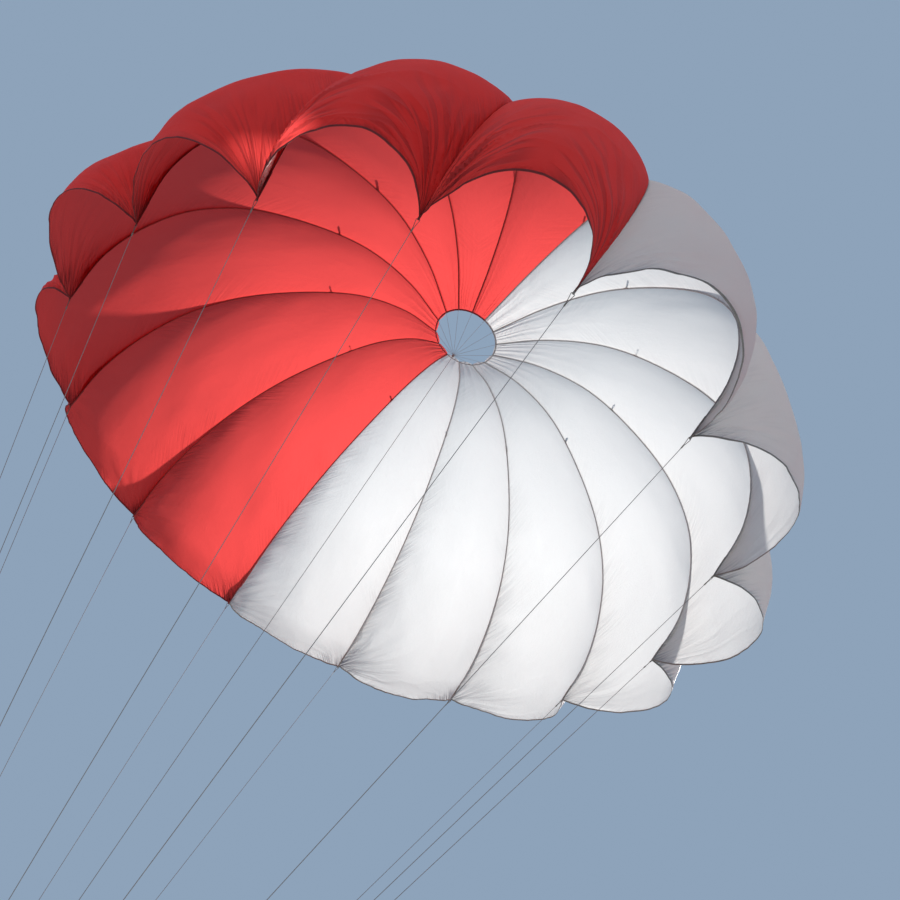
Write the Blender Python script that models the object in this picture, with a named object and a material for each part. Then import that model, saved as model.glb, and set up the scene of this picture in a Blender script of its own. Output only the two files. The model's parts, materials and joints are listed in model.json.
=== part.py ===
"""Inflated round parachute canopy: fourteen gores, their tapes, the vent, the lines and the riser.

Metres, +Z up. The origin is the seat of the riser's eye, where a harness connector pulls down.
The canopy's axis is the Z axis. Seam 1 points along -Y and the seams count on counter-clockwise.
"""

import bmesh
import bpy
import numpy as np

# ---- driving dimensions -------------------------------------------------------------------
GORES = 14
MOUTH_HEIGHT = 4.78  # hem points above the riser's eye
FIRST_SEAM_DEG = -90.0

CLOTH = 0.0015  # thickness of a gore
TAPE_WIDTH = 0.008  # radial tape over each seam
TAPE_THICK = 0.004
SEAM_CLEAR = 0.007  # from the tape's side to the cloth
SEAM_INSET = TAPE_WIDTH / 2 + SEAM_CLEAR  # the cloth's edge from the seam's middle
BINDING_DEPTH = 0.011  # folded tape round the hem and the vent
BINDING_THICK = 0.003
BINDING_CLEAR = 0.002  # from the binding to the cloth
LINE_DIAMETER = 0.003
VENT_LINE = 0.0025
GAP = 0.0004

VENT_KNOT_DROP = 0.225  # knot of the vent lines below the vent rim
VENT_KNOT_RADIUS = 0.010
VENT_KNOT_LENGTH = 0.020
VENT_LINE_CLEAR = 0.003  # from a vent line's end to the vent binding

RISER_WIDTH = 0.025  # flat webbing, doubled
RISER_THICK = 0.003
RISER_TOP = 0.34  # top of the riser above its eye
HEAD_RADIUS = 0.015  # sewn head of the riser, where the lines go in
HEAD_LENGTH = 0.050
LINE_RING = 0.011  # circle on which the lines enter the riser's head

# Half of the riser's webbing loop, from the middle of the eye's seat up to the doubled strap.
RISER_LOOP = (
    # (out from the axis, height of the webbing's middle)
    (0.0100, -0.0015),
    (0.0150, 0.0005),
    (0.0175, 0.0060),
    (0.0190, 0.0200),
    (0.0180, 0.0400),
    (0.0120, 0.0620),
    (0.0050, 0.0780),
    (0.0017, 0.0950),
)

# The seam's course from the vent to the hem: distance from the axis, height above the mouth.
SEAM_COURSE = (
    # (radius, height)
    (0.219, 1.606),
    (0.520, 1.770),
    (0.880, 1.839),
    (1.347, 1.708),
    (1.689, 1.474),
    (1.891, 1.178),
    (1.984, 0.834),
    (1.995, 0.445),
    (1.900, 0.000),
)

# How far each hem point sits off the even circle, because the wind presses unevenly.
SEAM_TABLE = (
    # (out, turn in degrees, up)
    (0.110, -3.0, -0.180),
    (0.010, -1.0, 0.050),
    (0.045, 0.8, 0.090),
    (0.015, -0.3, 0.080),
    (0.025, -1.6, 0.080),
    (0.010, -1.9, 0.065),
    (0.005, -2.0, 0.045),
    (-0.005, -0.7, 0.015),
    (0.015, 0.9, -0.030),
    (0.050, 2.3, -0.045),
    (0.030, 0.7, 0.005),
    (-0.085, 2.0, -0.045),
    (-0.120, 2.8, -0.110),
    (-0.115, 0.7, 0.005),
)

# Each gore's lower edge: how far it bellies past its chord, how much the belly tilts up,
# and how much it leans towards the next seam.
GORE_TABLE = (
    # (colour, belly as a share of the chord, tilt in degrees, lean)
    ("white", 0.47, 34.0, -0.03),
    ("white", 0.47, 25.0, -0.06),
    ("white", 0.46, 12.0, -0.28),
    ("white", 0.42, 17.0, -0.24),
    ("white", 0.31, 20.0, -0.10),
    ("white", 0.24, 23.0, 0.06),
    ("white", 0.35, 31.0, 0.18),
    ("red", 0.38, 33.0, 0.12),
    ("red", 0.35, 33.0, 0.16),
    ("red", 0.39, 25.0, 0.34),
    ("red", 0.42, 14.0, 0.22),
    ("red", 0.41, 18.0, 0.03),
    ("red", 0.47, 25.0, 0.12),
    ("red", 0.47, 38.0, 0.26),
)

# Belly of a gore on its way down, as a share of its chord. The last step is the gore's own.
FULLNESS = (
    # (share of the way from vent to hem, belly share)
    (0.00, 0.04),
    (0.25, 0.10),
    (0.50, 0.16),
    (0.75, 0.23),
)

# Mesh fineness
GORE_ROWS = 13
GORE_COLUMNS = 8
VENT_STEPS = 42
HEAD_SIDES = 24
LINE_POINTS = 6
SHARP_DEG = 50.0  # edges sharper than this stay crisp
STEP = 0.01  # small share of the way, for finding directions

UP = np.array((0.0, 0.0, 1.0))


# ---- shape of the canopy ------------------------------------------------------------------
def smooth_value(table, share):
    """Value of a smooth curve through rows of (share, value), by cubic steps between rows."""
    shares = [row[0] for row in table]
    values = [row[1] for row in table]
    slopes = np.gradient(values, shares)
    i = int(np.clip(np.searchsorted(shares, share) - 1, 0, len(shares) - 2))
    step = shares[i + 1] - shares[i]
    x = (share - shares[i]) / step
    start, end = values[i], values[i + 1]
    return (
        start * (1 + 2 * x) * (1 - x) ** 2
        + slopes[i] * step * x * (1 - x) ** 2
        + end * x * x * (3 - 2 * x)
        + slopes[i + 1] * step * x * x * (x - 1)
    )


def course_tables():
    """The seam's course as two tables over the share of its length."""
    points = np.array(SEAM_COURSE)
    lengths = np.concatenate([[0.0], np.cumsum(np.linalg.norm(np.diff(points, axis=0), axis=1))])
    shares = lengths / lengths[-1]
    return list(zip(shares, points[:, 0])), list(zip(shares, points[:, 1]))


COURSE_RADIUS, COURSE_HEIGHT = course_tables()


def seam_point(seam, share):
    """Point of a seam, 0 at the vent and 1 at its hem point."""
    out, turn, up = SEAM_TABLE[seam % GORES]
    fade = share**2
    angle = np.radians(FIRST_SEAM_DEG + seam * 360 / GORES + turn * fade)
    radius = smooth_value(COURSE_RADIUS, share) + out * fade
    height = smooth_value(COURSE_HEIGHT, share) + up * fade
    return np.array((radius * np.cos(angle), radius * np.sin(angle), MOUTH_HEIGHT + height))


def unit(vector):
    return vector / np.linalg.norm(vector)


def gore_frame(gore, share):
    """Middle of the chord, its half length, and the along-chord and belly directions."""
    left, right = seam_point(gore, share), seam_point(gore + 1, share)
    above = (seam_point(gore, share - STEP) + seam_point(gore + 1, share - STEP)) / 2
    below = (seam_point(gore, share + STEP) + seam_point(gore + 1, share + STEP)) / 2
    chord = unit(right - left)
    normal = unit(np.cross(chord, above - below))
    tilt = np.radians(GORE_TABLE[gore][2]) * share**6
    outward = normal * np.cos(tilt) + unit(np.cross(normal, chord)) * np.sin(tilt)
    return (left + right) / 2, np.linalg.norm(right - left) / 2, chord, outward


def gore_point(gore, across, share, inset=0.0):
    """Point of a gore: across runs from -1 to 1 between its seams, less an inset at each."""
    middle, half, chord, outward = gore_frame(gore, share)
    _, belly, _, lean = GORE_TABLE[gore]
    depth = 2 * half * smooth_value(FULLNESS + ((1.0, belly),), share)
    radius = (depth**2 + half**2) / (2 * depth)
    spread = 2 * np.arctan(depth / half) - inset / radius
    angle = across * spread
    sideways = radius * np.sin(angle)
    outwards = radius * np.cos(angle) - (radius - depth)
    sideways += lean * share**2 * outwards
    return middle + sideways * chord + outwards * outward


# ---- making solids ------------------------------------------------------------------------
def material(name, colour, roughness, metallic=0.0):
    found = bpy.data.materials.get(name) or bpy.data.materials.new(name)
    found.use_nodes = True
    shader = found.node_tree.nodes["Principled BSDF"]
    shader.inputs["Base Color"].default_value = (*colour, 1.0)
    shader.inputs["Roughness"].default_value = roughness
    shader.inputs["Metallic"].default_value = metallic
    return found


def add_object(name, points, faces, finish):
    mesh = bpy.data.meshes.new(name)
    mesh.from_pydata([tuple(point) for point in points], [], faces)
    mesh.materials.append(finish)
    shell = bmesh.new()
    shell.from_mesh(mesh)
    bmesh.ops.recalc_face_normals(shell, faces=shell.faces)
    shell.to_mesh(mesh)
    shell.free()
    mesh.shade_smooth()
    mesh.set_sharp_from_angle(angle=np.radians(SHARP_DEG))
    made = bpy.data.objects.new(name, mesh)
    bpy.context.scene.collection.objects.link(made)
    return made


def add_sheet(name, rows, thickness, finish):
    """Closed thin sheet round a grid of points."""
    columns = len(rows[0])
    points = [point for row in rows for point in row]
    faces = [
        (r * columns + c, r * columns + c + 1, (r + 1) * columns + c + 1, (r + 1) * columns + c)
        for r in range(len(rows) - 1)
        for c in range(columns - 1)
    ]
    made = add_object(name, points, faces, finish)
    solid = made.modifiers.new("thickness", "SOLIDIFY")
    solid.thickness = thickness
    solid.offset = 0.0
    return made


def add_sweep(name, sections, finish, closed=False):
    """Closed solid through a row of sections with the same number of corners.

    Each side is split in two triangles, along the same diagonal on opposite sides, so that a
    thin tape keeps its thickness where it twists.
    """
    corners = len(sections[0])
    count = len(sections)
    points = [point for section in sections for point in section]
    faces = []
    for i in range(count if closed else count - 1):
        here, there = i * corners, (i + 1) % count * corners
        for c in range(corners):
            d = (c + 1) % corners
            if c < corners / 2:
                faces += [(here + c, here + d, there + d), (here + c, there + d, there + c)]
            else:
                faces += [(here + c, here + d, there + c), (here + d, there + d, there + c)]
    if not closed:
        faces.append(tuple(range(corners)))
        faces.append(tuple(range((count - 1) * corners, count * corners)))
    return add_object(name, points, faces, finish)


def rectangle(centre, wide, width, thick, thickness):
    """Corners of a section: half a width along one direction, half a thickness along the other."""
    a, b = wide * width / 2, thick * thickness / 2
    return [centre - a - b, centre + a - b, centre + a + b, centre - a + b]


def add_cord(name, points, diameter, finish):
    curve = bpy.data.curves.new(name, "CURVE")
    curve.dimensions = "3D"
    curve.bevel_depth = diameter / 2
    curve.bevel_resolution = 2
    curve.use_fill_caps = True
    spline = curve.splines.new("POLY")
    spline.points.add(len(points) - 1)
    for target, point in zip(spline.points, points):
        target.co = (*point, 1.0)
    curve.materials.append(finish)
    made = bpy.data.objects.new(name, curve)
    bpy.context.scene.collection.objects.link(made)
    return made


# ---- sub-parts ----------------------------------------------------------------------------
def edge_directions(gore, across, share, inwards):
    """On an edge of a gore: its own direction, and the square step into the cloth per share."""
    centre = gore_point(gore, across, share, SEAM_INSET)
    ahead = gore_point(gore, min(across + STEP, 1), share, SEAM_INSET)
    behind = gore_point(gore, max(across - STEP, -1), share, SEAM_INSET)
    along = unit(ahead - behind)
    into = (gore_point(gore, across, share + STEP * inwards, SEAM_INSET) - centre) / STEP
    return centre, along, into - along * into.dot(along)


def share_span(gore, across):
    """Shares between which the cloth lies: it stops just short of both bindings."""
    clear = BINDING_DEPTH / 2 + BINDING_CLEAR
    at_vent = edge_directions(gore, across, 0.0, 1)[2]
    at_hem = edge_directions(gore, across, 1.0, -1)[2]
    return clear / np.linalg.norm(at_vent), 1 - clear / np.linalg.norm(at_hem)


def make_gores(finishes):
    """Ripstop panels, each stopping just short of its tapes and bindings."""
    for gore in range(GORES):
        columns = np.linspace(-1, 1, GORE_COLUMNS + 1)
        spans = [share_span(gore, across) for across in columns]
        rows = [
            [gore_point(gore, x, np.clip(share, *span), SEAM_INSET) for x, span in zip(columns, spans)]
            for share in np.linspace(0, 1, GORE_ROWS + 1)
        ]
        add_sheet(f"gore_{gore + 1:02d}", rows, CLOTH, finishes[GORE_TABLE[gore][0]])


def course_length():
    points = np.array(SEAM_COURSE)
    return np.linalg.norm(np.diff(points, axis=0), axis=1).sum()


def make_seam_tapes(finishes):
    """Folded tape that covers each seam from the vent binding to the hem point."""
    first = (BINDING_DEPTH / 2 + 2 * GAP) / course_length()
    for seam in range(GORES):
        sections = []
        for share in np.clip(np.linspace(0, 1, GORE_ROWS + 1), first, 1):
            centre = seam_point(seam, share)
            along = unit(seam_point(seam, share + STEP) - seam_point(seam, share - STEP))
            side = unit(np.cross(UP, centre * (1, 1, 0)))
            side = unit(side - along * side.dot(along))
            sections.append(rectangle(centre, side, TAPE_WIDTH, np.cross(along, side), TAPE_THICK))
        colour = GORE_TABLE[seam % GORES][0]
        add_sweep(f"seam_tape_{seam + 1:02d}", sections, finishes[f"{colour} tape"])


def make_hem_bindings(finishes):
    """Tape folded round the lower edge of each gore, standing in the cloth's own direction."""
    for gore in range(GORES):
        sections = []
        for across in np.linspace(-1, 1, GORE_COLUMNS + 1):
            centre, along, rise = edge_directions(gore, across, 1.0, -1)
            rise = unit(rise)
            sections.append(rectangle(centre, rise, BINDING_DEPTH, np.cross(along, rise), BINDING_THICK))
        add_sweep(f"hem_binding_{gore + 1:02d}", sections, finishes[f"{GORE_TABLE[gore][0]} binding"])


def make_vent_binding(finishes):
    """Tape ring round the vent."""
    sections = []
    slope = unit(np.array(SEAM_COURSE[1]) - np.array(SEAM_COURSE[0]))
    radius, height = SEAM_COURSE[0]
    for angle in np.linspace(0, 2 * np.pi, VENT_STEPS, endpoint=False):
        outward = np.array((np.cos(angle), np.sin(angle), 0.0))
        centre = outward * radius + UP * (MOUTH_HEIGHT + height)
        wide = outward * slope[0] + UP * slope[1]
        thick = UP * slope[0] - outward * slope[1]
        sections.append(rectangle(centre, wide, BINDING_DEPTH, thick, BINDING_THICK))
    add_sweep("vent_binding", sections, finishes["vent binding"], closed=True)


def make_vent_lines(finishes):
    """Fourteen thin lines from the vent rim to one knot, all one body.

    The knot is a fourteen-sided plug; each of its side faces is drawn out into a line.
    """
    rim_radius, rim_height = SEAM_COURSE[0]
    top = MOUTH_HEIGHT + rim_height
    knot_top = top - VENT_KNOT_DROP + VENT_KNOT_LENGTH / 2
    plug = bmesh.new()
    step = 2 * np.pi / GORES
    start = np.radians(FIRST_SEAM_DEG)
    rings = []
    for height in (knot_top - VENT_KNOT_LENGTH, knot_top - VENT_LINE, knot_top):
        ring = []
        for i in range(GORES):
            angle = start + (i - 0.5) * step
            spot = (VENT_KNOT_RADIUS * np.cos(angle), VENT_KNOT_RADIUS * np.sin(angle), height)
            ring.append(plug.verts.new(spot))
        rings.append(ring)
    plug.faces.new(rings[0])
    plug.faces.new(rings[2])
    sides = []
    for i in range(GORES):
        j = (i + 1) % GORES
        plug.faces.new((rings[0][i], rings[0][j], rings[1][j], rings[1][i]))
        sides.append(plug.faces.new((rings[1][i], rings[1][j], rings[2][j], rings[2][i])))
    reach = rim_radius - BINDING_DEPTH / 2 - VENT_LINE_CLEAR
    for i, face in enumerate(sides):
        outward = np.array((np.cos(start + i * step), np.sin(start + i * step), 0.0))
        aside = np.cross(UP, outward)
        end = outward * reach + UP * (top - BINDING_THICK)
        run = unit(end - outward * VENT_KNOT_RADIUS - UP * knot_top)
        upward = np.cross(run, aside)
        made = bmesh.ops.extrude_discrete_faces(plug, faces=[face])["faces"][0]
        for corner in made.verts:
            spot = np.array(corner.co)
            a = np.sign(spot.dot(aside)) * VENT_LINE / 2
            b = VENT_LINE / 2 if spot[2] > knot_top - VENT_LINE / 2 else -VENT_LINE / 2
            corner.co = end + aside * a + upward * b
    bmesh.ops.recalc_face_normals(plug, faces=plug.faces)
    mesh = bpy.data.meshes.new("vent_lines")
    plug.to_mesh(mesh)
    plug.free()
    mesh.materials.append(finishes["line"])
    mesh.shade_smooth()
    mesh.set_sharp_from_angle(angle=np.radians(SHARP_DEG))
    made = bpy.data.objects.new("vent_lines", mesh)
    bpy.context.scene.collection.objects.link(made)


def make_lines(finishes):
    """Suspension lines from the hem points, and the centre line, down into the riser's head."""
    foot = RISER_TOP + GAP
    for seam in range(GORES):
        tip = seam_point(seam, 1.0)
        angle = np.arctan2(tip[1], tip[0])
        end = np.array((LINE_RING * np.cos(angle), LINE_RING * np.sin(angle), foot + LINE_DIAMETER / 2))
        start = tip + unit(end - tip) * (TAPE_THICK + GAP)
        route = [start + (end - start) * share for share in np.linspace(0, 1, LINE_POINTS)]
        add_cord(f"suspension_line_{seam + 1:02d}", route, LINE_DIAMETER, finishes["line"])
    knot_foot = MOUTH_HEIGHT + SEAM_COURSE[0][1] - VENT_KNOT_DROP - VENT_KNOT_LENGTH / 2
    heights = np.linspace(knot_foot - GAP, foot, LINE_POINTS)
    add_cord("centre_line", [np.array((0.0, 0.0, h)) for h in heights], LINE_DIAMETER, finishes["line"])


def make_riser(finishes):
    """Webbing doubled into an eye at the foot, its ends in a round sewn head that takes the lines."""
    half = list(RISER_LOOP) + [(RISER_LOOP[-1][0], RISER_TOP - HEAD_LENGTH / 2)]
    course = [(-x, z) for x, z in reversed(half)] + half
    sections = []
    for i, (x, z) in enumerate(course):
        before, after = course[max(i - 1, 0)], course[min(i + 1, len(course) - 1)]
        along = unit(np.array((after[0] - before[0], 0.0, after[1] - before[1])))
        aside = np.array((0.0, 1.0, 0.0))
        sections.append(rectangle(np.array((x, 0.0, z)), aside, RISER_WIDTH, np.cross(along, aside), RISER_THICK))
    riser = add_sweep("riser", sections, finishes["webbing"])

    head = bmesh.new()
    bmesh.ops.create_cone(
        head,
        cap_ends=True,
        segments=HEAD_SIDES,
        radius1=HEAD_RADIUS,
        radius2=HEAD_RADIUS,
        depth=HEAD_LENGTH,
    )
    bmesh.ops.translate(head, verts=head.verts, vec=(0, 0, RISER_TOP - HEAD_LENGTH / 2))
    mesh = bpy.data.meshes.new("riser_head")
    head.to_mesh(mesh)
    head.free()
    helper = bpy.data.objects.new("riser_head", mesh)
    bpy.context.scene.collection.objects.link(helper)
    helper.hide_render = True
    helper.display_type = "WIRE"
    join = riser.modifiers.new("head", "BOOLEAN")
    join.operation = "UNION"
    join.object = helper


def build():
    for old in list(bpy.data.objects):
        bpy.data.objects.remove(old)
    finishes = {
        "white": material("white ripstop", (0.80, 0.80, 0.78), 0.55),
        "red": material("red ripstop", (0.62, 0.03, 0.03), 0.55),
        "white tape": material("grey seam tape", (0.42, 0.41, 0.40), 0.7),
        "red tape": material("dark red seam tape", (0.25, 0.01, 0.01), 0.7),
        "white binding": material("grey hem tape", (0.16, 0.15, 0.14), 0.7),
        "red binding": material("dark red hem tape", (0.14, 0.01, 0.01), 0.7),
        "vent binding": material("vent tape", (0.30, 0.24, 0.24), 0.7),
        "line": material("braided line", (0.70, 0.66, 0.62), 0.6),
        "webbing": material("riser webbing", (0.10, 0.10, 0.10), 0.8),
    }
    make_gores(finishes)
    make_seam_tapes(finishes)
    make_hem_bindings(finishes)
    make_vent_binding(finishes)
    make_vent_lines(finishes)
    make_lines(finishes)
    make_riser(finishes)


build()
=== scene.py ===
# %% [markdown]
# # An open round parachute, seen from below
# The canopy is fourteen gores, long panels of ripstop nylon that run from the vent, the hole at the
# top, to the hem. Half of them are white and half red. Tape covers each seam, a folded binding
# closes the hem and the vent, and a line runs from the end of each seam to the riser below.
#
# The imported model is the fixed frame. Its box is kept here, and the floor is set just below it.

# %% Load the frame
import json

import bpy
import numpy as np
from mathutils import Matrix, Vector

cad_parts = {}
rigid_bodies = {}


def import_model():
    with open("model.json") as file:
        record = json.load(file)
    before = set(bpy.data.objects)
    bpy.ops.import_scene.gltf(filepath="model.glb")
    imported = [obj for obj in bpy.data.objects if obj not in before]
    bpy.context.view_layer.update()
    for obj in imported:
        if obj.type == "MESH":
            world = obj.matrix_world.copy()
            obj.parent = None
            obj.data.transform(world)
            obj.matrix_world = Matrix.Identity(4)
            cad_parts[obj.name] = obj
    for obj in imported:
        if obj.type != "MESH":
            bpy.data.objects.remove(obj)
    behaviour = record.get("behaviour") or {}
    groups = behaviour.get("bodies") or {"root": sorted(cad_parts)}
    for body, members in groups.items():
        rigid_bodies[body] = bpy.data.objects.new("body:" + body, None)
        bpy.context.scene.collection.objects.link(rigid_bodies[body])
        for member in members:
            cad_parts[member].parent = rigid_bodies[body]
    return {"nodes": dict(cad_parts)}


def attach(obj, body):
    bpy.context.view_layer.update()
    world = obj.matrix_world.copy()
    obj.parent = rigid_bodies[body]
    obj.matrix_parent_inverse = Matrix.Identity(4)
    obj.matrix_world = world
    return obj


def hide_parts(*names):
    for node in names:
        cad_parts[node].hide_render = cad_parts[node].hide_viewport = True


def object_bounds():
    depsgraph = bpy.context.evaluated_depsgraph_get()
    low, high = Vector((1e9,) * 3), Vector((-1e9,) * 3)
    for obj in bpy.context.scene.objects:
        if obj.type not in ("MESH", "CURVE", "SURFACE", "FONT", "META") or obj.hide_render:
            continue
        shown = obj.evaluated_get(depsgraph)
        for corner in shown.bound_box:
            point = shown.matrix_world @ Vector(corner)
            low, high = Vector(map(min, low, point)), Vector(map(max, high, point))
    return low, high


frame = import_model()
cad_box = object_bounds()
print("frame:", len(frame["nodes"]), "nodes, box", [[round(x, 3) for x in corner] for corner in cad_box])

# %% [markdown]
# ## Where we stand
# The camera is on the ground side, off the axis, and looks up through the lines into the canopy.
# The strongest light comes from beyond the canopy, so that the cloth glows on its inside, and an
# even pale world fills in from all round. The floor is far below and stays out of this view.

# %% Camera, light and floor
CAMERA_PLACE = (-0.7369, -4.0718, 1.3841)
CAMERA_RIGHT = (0.73358, -0.56704, 0.37461)
CAMERA_UP = (-0.65542, -0.44456, 0.61056)
CAMERA_LENS = 38.0
LIGHT_FROM = np.array((0.56, 0.54, 0.63))
LIGHT_STRENGTH = 4.3
LIGHT_SPREAD_DEG = 3.0
SURROUND = (0.27, 0.365, 0.49)
FLOOR_SIZE = 40.0
FLOOR_GAP = 0.0015


def unit(vectors):
    """The same directions, each one long. The last axis holds x, y and z."""
    vectors = np.asarray(vectors, float)
    return vectors / np.maximum(np.linalg.norm(vectors, axis=-1, keepdims=True), 1e-12)


def aim(thing, place, right, up):
    """Turns a camera or lamp, which look along their own -Z."""
    right, up = unit(right), unit(up)
    back = np.cross(right, up)
    turn = np.eye(4)
    turn[:3, 0], turn[:3, 1], turn[:3, 2], turn[:3, 3] = right, up, back, place
    thing.matrix_world = Matrix([list(row) for row in turn])


scene = bpy.context.scene
camera_data = bpy.data.cameras.new("camera")
camera_data.lens = CAMERA_LENS
camera_data.sensor_width = 36.0
camera_data.clip_end = 200.0
camera = bpy.data.objects.new("camera", camera_data)
scene.collection.objects.link(camera)
aim(camera, CAMERA_PLACE, CAMERA_RIGHT, CAMERA_UP)
scene.camera = camera

sun_data = bpy.data.lights.new("soft_key", "SUN")
sun_data.energy = LIGHT_STRENGTH
sun_data.angle = np.radians(LIGHT_SPREAD_DEG)
sun_data.color = (1.0, 0.98, 0.95)
sun = bpy.data.objects.new("soft_key", sun_data)
scene.collection.objects.link(sun)
light_right = unit(np.cross((0.0, 0.0, 1.0), LIGHT_FROM))
aim(sun, LIGHT_FROM * 12, light_right, np.cross(unit(LIGHT_FROM), light_right))

world = bpy.data.worlds.new("pale_surround")
world.use_nodes = True
backdrop = world.node_tree.nodes["Background"]
backdrop.inputs["Color"].default_value = (*SURROUND, 1.0)
backdrop.inputs["Strength"].default_value = 1.0
scene.world = world
scene.view_settings.view_transform = "Standard"

bpy.ops.object.select_all(action="DESELECT")
bpy.ops.mesh.primitive_plane_add(size=FLOOR_SIZE, location=(0, 0, cad_box[0][2] - FLOOR_GAP))
floor = bpy.context.object
floor.name = "floor"
print("camera at", CAMERA_PLACE, "floor at", round(floor.location.z, 4))

# %% [markdown]
# ## Writing finishes as sums
# A finish is a tree of nodes. Wiring each one by hand hides what is worked out, so a small class
# wraps an output and lets Python's own signs add the Math nodes. Any other node comes from one
# method, which takes the node's type, its settings and what goes into its sockets.


# %% Two helpers for finishes
class Amount:
    """A number that changes over a surface."""

    def __init__(self, finish, socket):
        self.finish, self.socket = finish, socket

    def math(self, how, first, second):
        return self.finish.node("Math", {"operation": how}, {0: first, 1: second})

    def __add__(self, other):
        return self.math("ADD", self, other)

    def __sub__(self, other):
        return self.math("SUBTRACT", self, other)

    def __mul__(self, other):
        return self.math("MULTIPLY", self, other)

    def __rsub__(self, other):
        return self.math("SUBTRACT", other, self)

    __radd__, __rmul__ = __add__, __mul__


class Finish:
    """A material built from nothing but the nodes that it needs."""

    def __init__(self, name):
        self.material = bpy.data.materials.new(name)
        self.material.use_nodes = True
        self.tree = self.material.node_tree
        self.tree.nodes.clear()

    def node(self, kind, settings=(), values=(), out=0):
        made = self.tree.nodes.new("ShaderNode" + kind)
        for name, value in dict(settings).items():
            setattr(made, name, value)
        for name, value in dict(values).items():
            if isinstance(value, Amount):
                self.tree.links.new(value.socket, made.inputs[name])
            else:
                made.inputs[name].default_value = value
        return Amount(self, made.outputs[out]) if made.outputs else None

    def noise(self, where, scale, detail=2.0, roughness=0.5, stretch=(1, 1, 1)):
        spot = self.node("Mapping", {}, {"Vector": where, "Scale": stretch})
        values = {"Vector": spot, "Scale": scale, "Detail": detail, "Roughness": roughness}
        return self.node("TexNoise", {}, values)

    def between(self, value, low, high, to_low=0.0, to_high=1.0):
        values = {0: value, 1: low, 2: high, 3: to_low, 4: to_high}
        return self.node("MapRange", {"interpolation_type": "SMOOTHSTEP"}, values)

    def tint(self, share, first, second):
        return self.node(
            "Mix",
            {"data_type": "RGBA"},
            {0: share, 6: (*first, 1.0), 7: (*second, 1.0)},
            out=2,
        )

    def bump(self, height, depth, strength=1.0):
        return self.node("Bump", {}, {"Height": height, "Distance": depth, "Strength": strength})

    def uv(self, name):
        across_along = self.node("UVMap", {"uv_map": name})
        return across_along, self.part(across_along, 0), self.part(across_along, 1)

    def part(self, vector, axis):
        return self.node("SeparateXYZ", {}, {0: vector}, out=axis)

    def surface(self, shader):
        self.node("OutputMaterial", {}, {"Surface": shader})
        return self.material


print("helpers for finishes are ready")

# %% [markdown]
# ## Ripstop nylon
# The cloth is thin and calendered: it shines a little and lets more than half of the light through. A
# thicker thread runs both ways every few millimetres and shows as a fine grid. Light that comes
# through is a Translucent shader, mixed with an ordinary surface for what bounces off. Where the
# cloth is folded under the tapes it is four layers thick, so less comes through.

# %% Ripstop
GRID = 0.0055
GRID_LINE = 0.0004
FELL = 0.0065
SHADED = 0.42  # how much less light comes through where gathers crowd the cloth


def ripstop(name, front, through, dark, clear):
    """Front is the colour seen by light that bounces, through by the clear share that passes, dark the
    colour that the cloth's tone and the painted shade of its folds darken it towards.
    """
    finish = Finish(name)
    where, across, along = finish.uv("cloth")
    lines = []
    for coordinate in (across, along):
        away = finish.node("Math", {"operation": "PINGPONG"}, {0: coordinate, 1: GRID / 2})
        lines.append(finish.between(away, GRID_LINE / 2, GRID_LINE, 1.0, 0.0))
    grid = finish.node("Math", {"operation": "MAXIMUM"}, {0: lines[0], 1: lines[1]})
    patchy = finish.noise(where, 2.2, 3.0, 0.55)
    crinkle = finish.noise(where, 26.0, 4.0, 0.6, (1.0, 0.35, 1.0))
    edge = finish.node("Attribute", {"attribute_name": "from_seam"}, out=2)
    layers = finish.between(edge, FELL * 0.85, FELL, 1.0, 0.0)
    drawn = finish.node("Attribute", {"attribute_name": "drawn"}, out=2)
    gathered = finish.between(finish.noise(finish.uv("gathers")[0], 46.0, 2.0, 0.45), 0.40, 0.62)
    fanned = finish.node("Attribute", {"attribute_name": "fanned"}, out=2)
    creases = finish.between(finish.noise(finish.uv("fans")[0], 1.0, 1.0, 0.4), 0.46, 0.60)
    streaks = (gathered * 0.8 + 0.2) * drawn + creases * fanned
    # The gathers and the creases from the hem points are painted darker here: painted shade in the folds,
    # on top of their relief and the light they hold back. The cloudy patches, the grid and the folded
    # seam edge are the cloth's own tone.
    tone_and_fold_shade = patchy * 0.4 + grid * 0.2 + layers * 0.3 + streaks * 0.8
    colour = finish.tint(finish.between(tone_and_fold_shade, 0.12, 1.0), front, dark)
    relief = finish.bump(crinkle * 0.25 + grid * 0.04 + layers * 0.15 + streaks, 0.0100, 1.0)
    values = {"Base Color": colour, "Roughness": 0.46, "Normal": relief, "Specular IOR Level": 0.3}
    bounced = finish.node("BsdfPrincipled", {}, values)
    passed = finish.node("BsdfTranslucent", {}, {"Color": (*through, 1.0), "Normal": relief})
    share = clear - layers * 0.22 - grid * 0.03 - streaks * SHADED
    return finish.surface(finish.node("MixShader", {}, {0: share, 1: bounced, 2: passed}))


# Each dark colour is the cloth's darker tone and also the painted shade of its gathers and creases.
WHITE_CLOTH = ripstop("white_ripstop", (0.60, 0.60, 0.595), (0.92, 0.90, 0.87), (0.28, 0.29, 0.35), 0.60)
RED_CLOTH = ripstop("red_ripstop", (0.20, 0.004, 0.006), (1.00, 0.088, 0.080), (0.09, 0.003, 0.006), 0.71)
print("ripstop:", WHITE_CLOTH.name, RED_CLOTH.name)

# %% [markdown]
# ## Tapes, lines and webbing
# The tapes are woven and stitched down with a row of thread along each side. The lines are braided,
# so their surface is two sets of fine ridges that wind round opposite ways. Every pattern follows
# the piece's own map, which runs in metres across and along it.


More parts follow.
